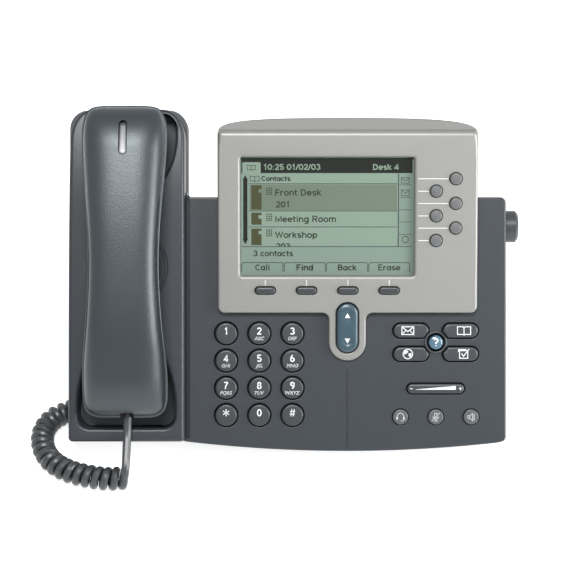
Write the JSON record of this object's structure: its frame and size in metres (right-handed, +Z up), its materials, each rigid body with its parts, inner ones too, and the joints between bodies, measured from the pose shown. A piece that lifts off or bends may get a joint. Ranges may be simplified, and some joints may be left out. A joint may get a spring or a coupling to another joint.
{
  "type": "desk ip phone",
  "caption": "Desk IP phone on a folding footstand, with a lift-off handset on a curly cord, a tilted display head, dial keys and function keys.",
  "frame": {"origin": "on the table, under the middle front foot", "axes": "+X to the right, +Y to the back, +Z up; the key panel leans back 52 degrees from the table"},
  "size_m": [0.2915, 0.1946, 0.1881],
  "materials": {
    "housing": "fine matt texture",
    "housing_bottom": "fine matt texture",
    "bezel": "satin silver paint on plastic",
    "rear_cover": "fine matt texture",
    "window": "clear, glossy",
    "display": "green liquid crystal, backlit",
    "board": "green circuit board",
    "rubber_mat": "matt",
    "dark_part": "matt",
    "steel": "zinc plated",
    "foot": "matt",
    "dial_key": "satin, white legends",
    "soft_key": "satin",
    "line_key": "satin, translucent",
    "rocker": "satin blue-green",
    "help": "glossy blue",
    "audio_key": "translucent grey",
    "handset": "satin",
    "light": "milky, clear red when lit",
    "cord": "satin vinyl",
    "plug": "clear",
    "stand": "matt",
    "button": "satin"
  },
  "bodies": {
    "base": {"top_housing": "housing", "bottom_housing": "housing_bottom", "display_bezel": "bezel", "display_rear_cover": "rear_cover", "display_window": "window", "display_panel": "display", "display_board": "board", "main_board": "board", "key_mats": "rubber_mat", "loudspeaker": "dark_part", "rear_jacks": "dark_part", "housing_screws": "steel", "base_feet": "foot", "handset_rest_tab": "housing", "handset_cord_coil": "cord", "handset_cord_tail": "cord", "base_plug": "plug"},
    "handset": {"handset_back_shell": "handset", "handset_front_shell": "handset", "handset_light_strip": "light", "ear_receiver": "dark_part", "mouth_microphone": "dark_part", "handset_plug": "plug", "handset_cord_lead": "cord"},
    "footstand": {"footstand": "stand", "footstand_feet": "foot"},
    "footstand_button": {"footstand_button": "button"},
    "hook_plunger": {"hook_plunger": "dark_part"},
    "key_1": {"key_1": "dial_key"},
    "key_2": {"key_2": "dial_key"},
    "key_3": {"key_3": "dial_key"},
    "key_4": {"key_4": "dial_key"},
    "key_5": {"key_5": "dial_key"},
    "key_6": {"key_6": "dial_key"},
    "key_7": {"key_7": "dial_key"},
    "key_8": {"key_8": "dial_key"},
    "key_9": {"key_9": "dial_key"},
    "key_star": {"key_star": "dial_key"},
    "key_0": {"key_0": "dial_key"},
    "key_hash": {"key_hash": "dial_key"},
    "messages_key": {"messages_key": "dial_key"},
    "directories_key": {"directories_key": "dial_key"},
    "services_key": {"services_key": "dial_key"},
    "settings_key": {"settings_key": "dial_key"},
    "help_key": {"help_key": "help"},
    "headset_key": {"headset_key": "audio_key"},
    "mute_key": {"mute_key": "audio_key"},
    "speaker_key": {"speaker_key": "audio_key"},
    "soft_key_1": {"soft_key_1": "soft_key"},
    "soft_key_2": {"soft_key_2": "soft_key"},
    "soft_key_3": {"soft_key_3": "soft_key"},
    "soft_key_4": {"soft_key_4": "soft_key"},
    "line_key_1": {"line_key_1": "line_key"},
    "line_key_2": {"line_key_2": "line_key"},
    "line_key_3": {"line_key_3": "line_key"},
    "line_key_4": {"line_key_4": "line_key"},
    "line_key_5": {"line_key_5": "line_key"},
    "line_key_6": {"line_key_6": "line_key"},
    "nav_rocker": {"nav_rocker": "rocker"},
    "volume_rocker": {"volume_rocker": "dial_key"}
  },
  "joints": [
    {"name": "handset_lift", "type": "slide", "parent": "base", "child": "handset", "axis": [0, -0.788, 0.6157], "range_m": [0, 0.06]},
    {"name": "hook_rise", "type": "slide", "parent": "base", "child": "hook_plunger", "axis": [0, -0.788, 0.6157], "range_m": [0, 0.003]},
    {"name": "footstand_swing", "type": "hinge", "parent": "base", "child": "footstand", "pos_m": [0, 0.07108, 0.10255], "axis": [1, 0, 0], "range_deg": [-68, 30]},
    {"name": "footstand_release", "type": "slide", "parent": "base", "child": "footstand_button", "axis": [-1, 0, 0], "range_m": [0, 0.002], "stiffness_N_per_m": 500, "springref_m": -0.002},
    {"name": "key_1_press", "type": "slide", "parent": "base", "child": "key_1", "axis": [0, 0.788, -0.6157], "range_m": [0, 0.0012], "stiffness_N_per_m": 400, "springref_m": -0.0015},
    {"name": "key_2_press", "type": "slide", "parent": "base", "child": "key_2", "axis": [0, 0.788, -0.6157], "range_m": [0, 0.0012], "stiffness_N_per_m": 400, "springref_m": -0.0015},
    {"name": "key_3_press", "type": "slide", "parent": "base", "child": "key_3", "axis": [0, 0.788, -0.6157], "range_m": [0, 0.0012], "stiffness_N_per_m": 400, "springref_m": -0.0015},
    {"name": "key_4_press", "type": "slide", "parent": "base", "child": "key_4", "axis": [0, 0.788, -0.6157], "range_m": [0, 0.0012], "stiffness_N_per_m": 400, "springref_m": -0.0015},
    {"name": "key_5_press", "type": "slide", "parent": "base", "child": "key_5", "axis": [0, 0.788, -0.6157], "range_m": [0, 0.0012], "stiffness_N_per_m": 400, "springref_m": -0.0015},
    {"name": "key_6_press", "type": "slide", "parent": "base", "child": "key_6", "axis": [0, 0.788, -0.6157], "range_m": [0, 0.0012], "stiffness_N_per_m": 400, "springref_m": -0.0015},
    {"name": "key_7_press", "type": "slide", "parent": "base", "child": "key_7", "axis": [0, 0.788, -0.6157], "range_m": [0, 0.0012], "stiffness_N_per_m": 400, "springref_m": -0.0015},
    {"name": "key_8_press", "type": "slide", "parent": "base", "child": "key_8", "axis": [0, 0.788, -0.6157], "range_m": [0, 0.0012], "stiffness_N_per_m": 400, "springref_m": -0.0015},
    {"name": "key_9_press", "type": "slide", "parent": "base", "child": "key_9", "axis": [0, 0.788, -0.6157], "range_m": [0, 0.0012], "stiffness_N_per_m": 400, "springref_m": -0.0015},
    {"name": "key_star_press", "type": "slide", "parent": "base", "child": "key_star", "axis": [0, 0.788, -0.6157], "range_m": [0, 0.0012], "stiffness_N_per_m": 400, "springref_m": -0.0015},
    {"name": "key_0_press", "type": "slide", "parent": "base", "child": "key_0", "axis": [0, 0.788, -0.6157], "range_m": [0, 0.0012], "stiffness_N_per_m": 400, "springref_m": -0.0015},
    {"name": "key_hash_press", "type": "slide", "parent": "base", "child": "key_hash", "axis": [0, 0.788, -0.6157], "range_m": [0, 0.0012], "stiffness_N_per_m": 400, "springref_m": -0.0015},
    {"name": "messages_key_press", "type": "slide", "parent": "base", "child": "messages_key", "axis": [0, 0.788, -0.6157], "range_m": [0, 0.0012], "stiffness_N_per_m": 400, "springref_m": -0.0015},
    {"name": "directories_key_press", "type": "slide", "parent": "base", "child": "directories_key", "axis": [0, 0.788, -0.6157], "range_m": [0, 0.0012], "stiffness_N_per_m": 400, "springref_m": -0.0015},
    {"name": "services_key_press", "type": "slide", "parent": "base", "child": "services_key", "axis": [0, 0.788, -0.6157], "range_m": [0, 0.0012], "stiffness_N_per_m": 400, "springref_m": -0.0015},
    {"name": "settings_key_press", "type": "slide", "parent": "base", "child": "settings_key", "axis": [0, 0.788, -0.6157], "range_m": [0, 0.0012], "stiffness_N_per_m": 400, "springref_m": -0.0015},
    {"name": "help_key_press", "type": "slide", "parent": "base", "child": "help_key", "axis": [0, 0.788, -0.6157], "range_m": [0, 0.0012], "stiffness_N_per_m": 400, "springref_m": -0.0015},
    {"name": "headset_key_press", "type": "slide", "parent": "base", "child": "headset_key", "axis": [0, 0.788, -0.6157], "range_m": [0, 0.0012], "stiffness_N_per_m": 400, "springref_m": -0.0015},
    {"name": "mute_key_press", "type": "slide", "parent": "base", "child": "mute_key", "axis": [0, 0.788, -0.6157], "range_m": [0, 0.0012], "stiffness_N_per_m": 400, "springref_m": -0.0015},
    {"name": "speaker_key_press", "type": "slide", "parent": "base", "child": "speaker_key", "axis": [0, 0.788, -0.6157], "range_m": [0, 0.0012], "stiffness_N_per_m": 400, "springref_m": -0.0015},
    {"name": "soft_key_1_press", "type": "slide", "parent": "base", "child": "soft_key_1", "axis": [0, 0.8387, -0.5446], "range_m": [0, 0.0008], "stiffness_N_per_m": 400, "springref_m": -0.0015},
    {"name": "soft_key_2_press", "type": "slide", "parent": "base", "child": "soft_key_2", "axis": [0, 0.8387, -0.5446], "range_m": [0, 0.0008], "stiffness_N_per_m": 400, "springref_m": -0.0015},
    {"name": "soft_key_3_press", "type": "slide", "parent": "base", "child": "soft_key_3", "axis": [0, 0.8387, -0.5446], "range_m": [0, 0.0008], "stiffness_N_per_m": 400, "springref_m": -0.0015},
    {"name": "soft_key_4_press", "type": "slide", "parent": "base", "child": "soft_key_4", "axis": [0, 0.8387, -0.5446], "range_m": [0, 0.0008], "stiffness_N_per_m": 400, "springref_m": -0.0015},
    {"name": "line_key_1_press", "type": "slide", "parent": "base", "child": "line_key_1", "axis": [0, 0.8387, -0.5446], "range_m": [0, 0.0008], "stiffness_N_per_m": 400, "springref_m": -0.0015},
    {"name": "line_key_2_press", "type": "slide", "parent": "base", "child": "line_key_2", "axis": [0, 0.8387, -0.5446], "range_m": [0, 0.0008], "stiffness_N_per_m": 400, "springref_m": -0.0015},
    {"name": "line_key_3_press", "type": "slide", "parent": "base", "child": "line_key_3", "axis": [0, 0.8387, -0.5446], "range_m": [0, 0.0008], "stiffness_N_per_m": 400, "springref_m": -0.0015},
    {"name": "line_key_4_press", "type": "slide", "parent": "base", "child": "line_key_4", "axis": [0, 0.8387, -0.5446], "range_m": [0, 0.0008], "stiffness_N_per_m": 400, "springref_m": -0.0015},
    {"name": "line_key_5_press", "type": "slide", "parent": "base", "child": "line_key_5", "axis": [0, 0.8387, -0.5446], "range_m": [0, 0.0008], "stiffness_N_per_m": 400, "springref_m": -0.0015},
    {"name": "line_key_6_press", "type": "slide", "parent": "base", "child": "line_key_6", "axis": [0, 0.8387, -0.5446], "range_m": [0, 0.0008], "stiffness_N_per_m": 400, "springref_m": -0.0015},
    {"name": "nav_rocker_tilt", "type": "hinge", "parent": "base", "child": "nav_rocker", "pos_m": [0.0354, 0.01821, 0.06759], "axis": [1, 0, 0], "range_deg": [-2.5, 2.5], "stiffness_Nm_per_rad": 0.5},
    {"name": "volume_rocker_tilt", "type": "hinge", "parent": "base", "child": "volume_rocker", "pos_m": [0.0878, -0.00245, 0.03767], "axis": [0, 0.6157, 0.788], "range_deg": [-2, 2], "stiffness_Nm_per_rad": 0.5}
  ],
  "couplings": [
    {"joint": "hook_rise", "follows": "handset_lift", "ratio": 0.05}
  ]
}
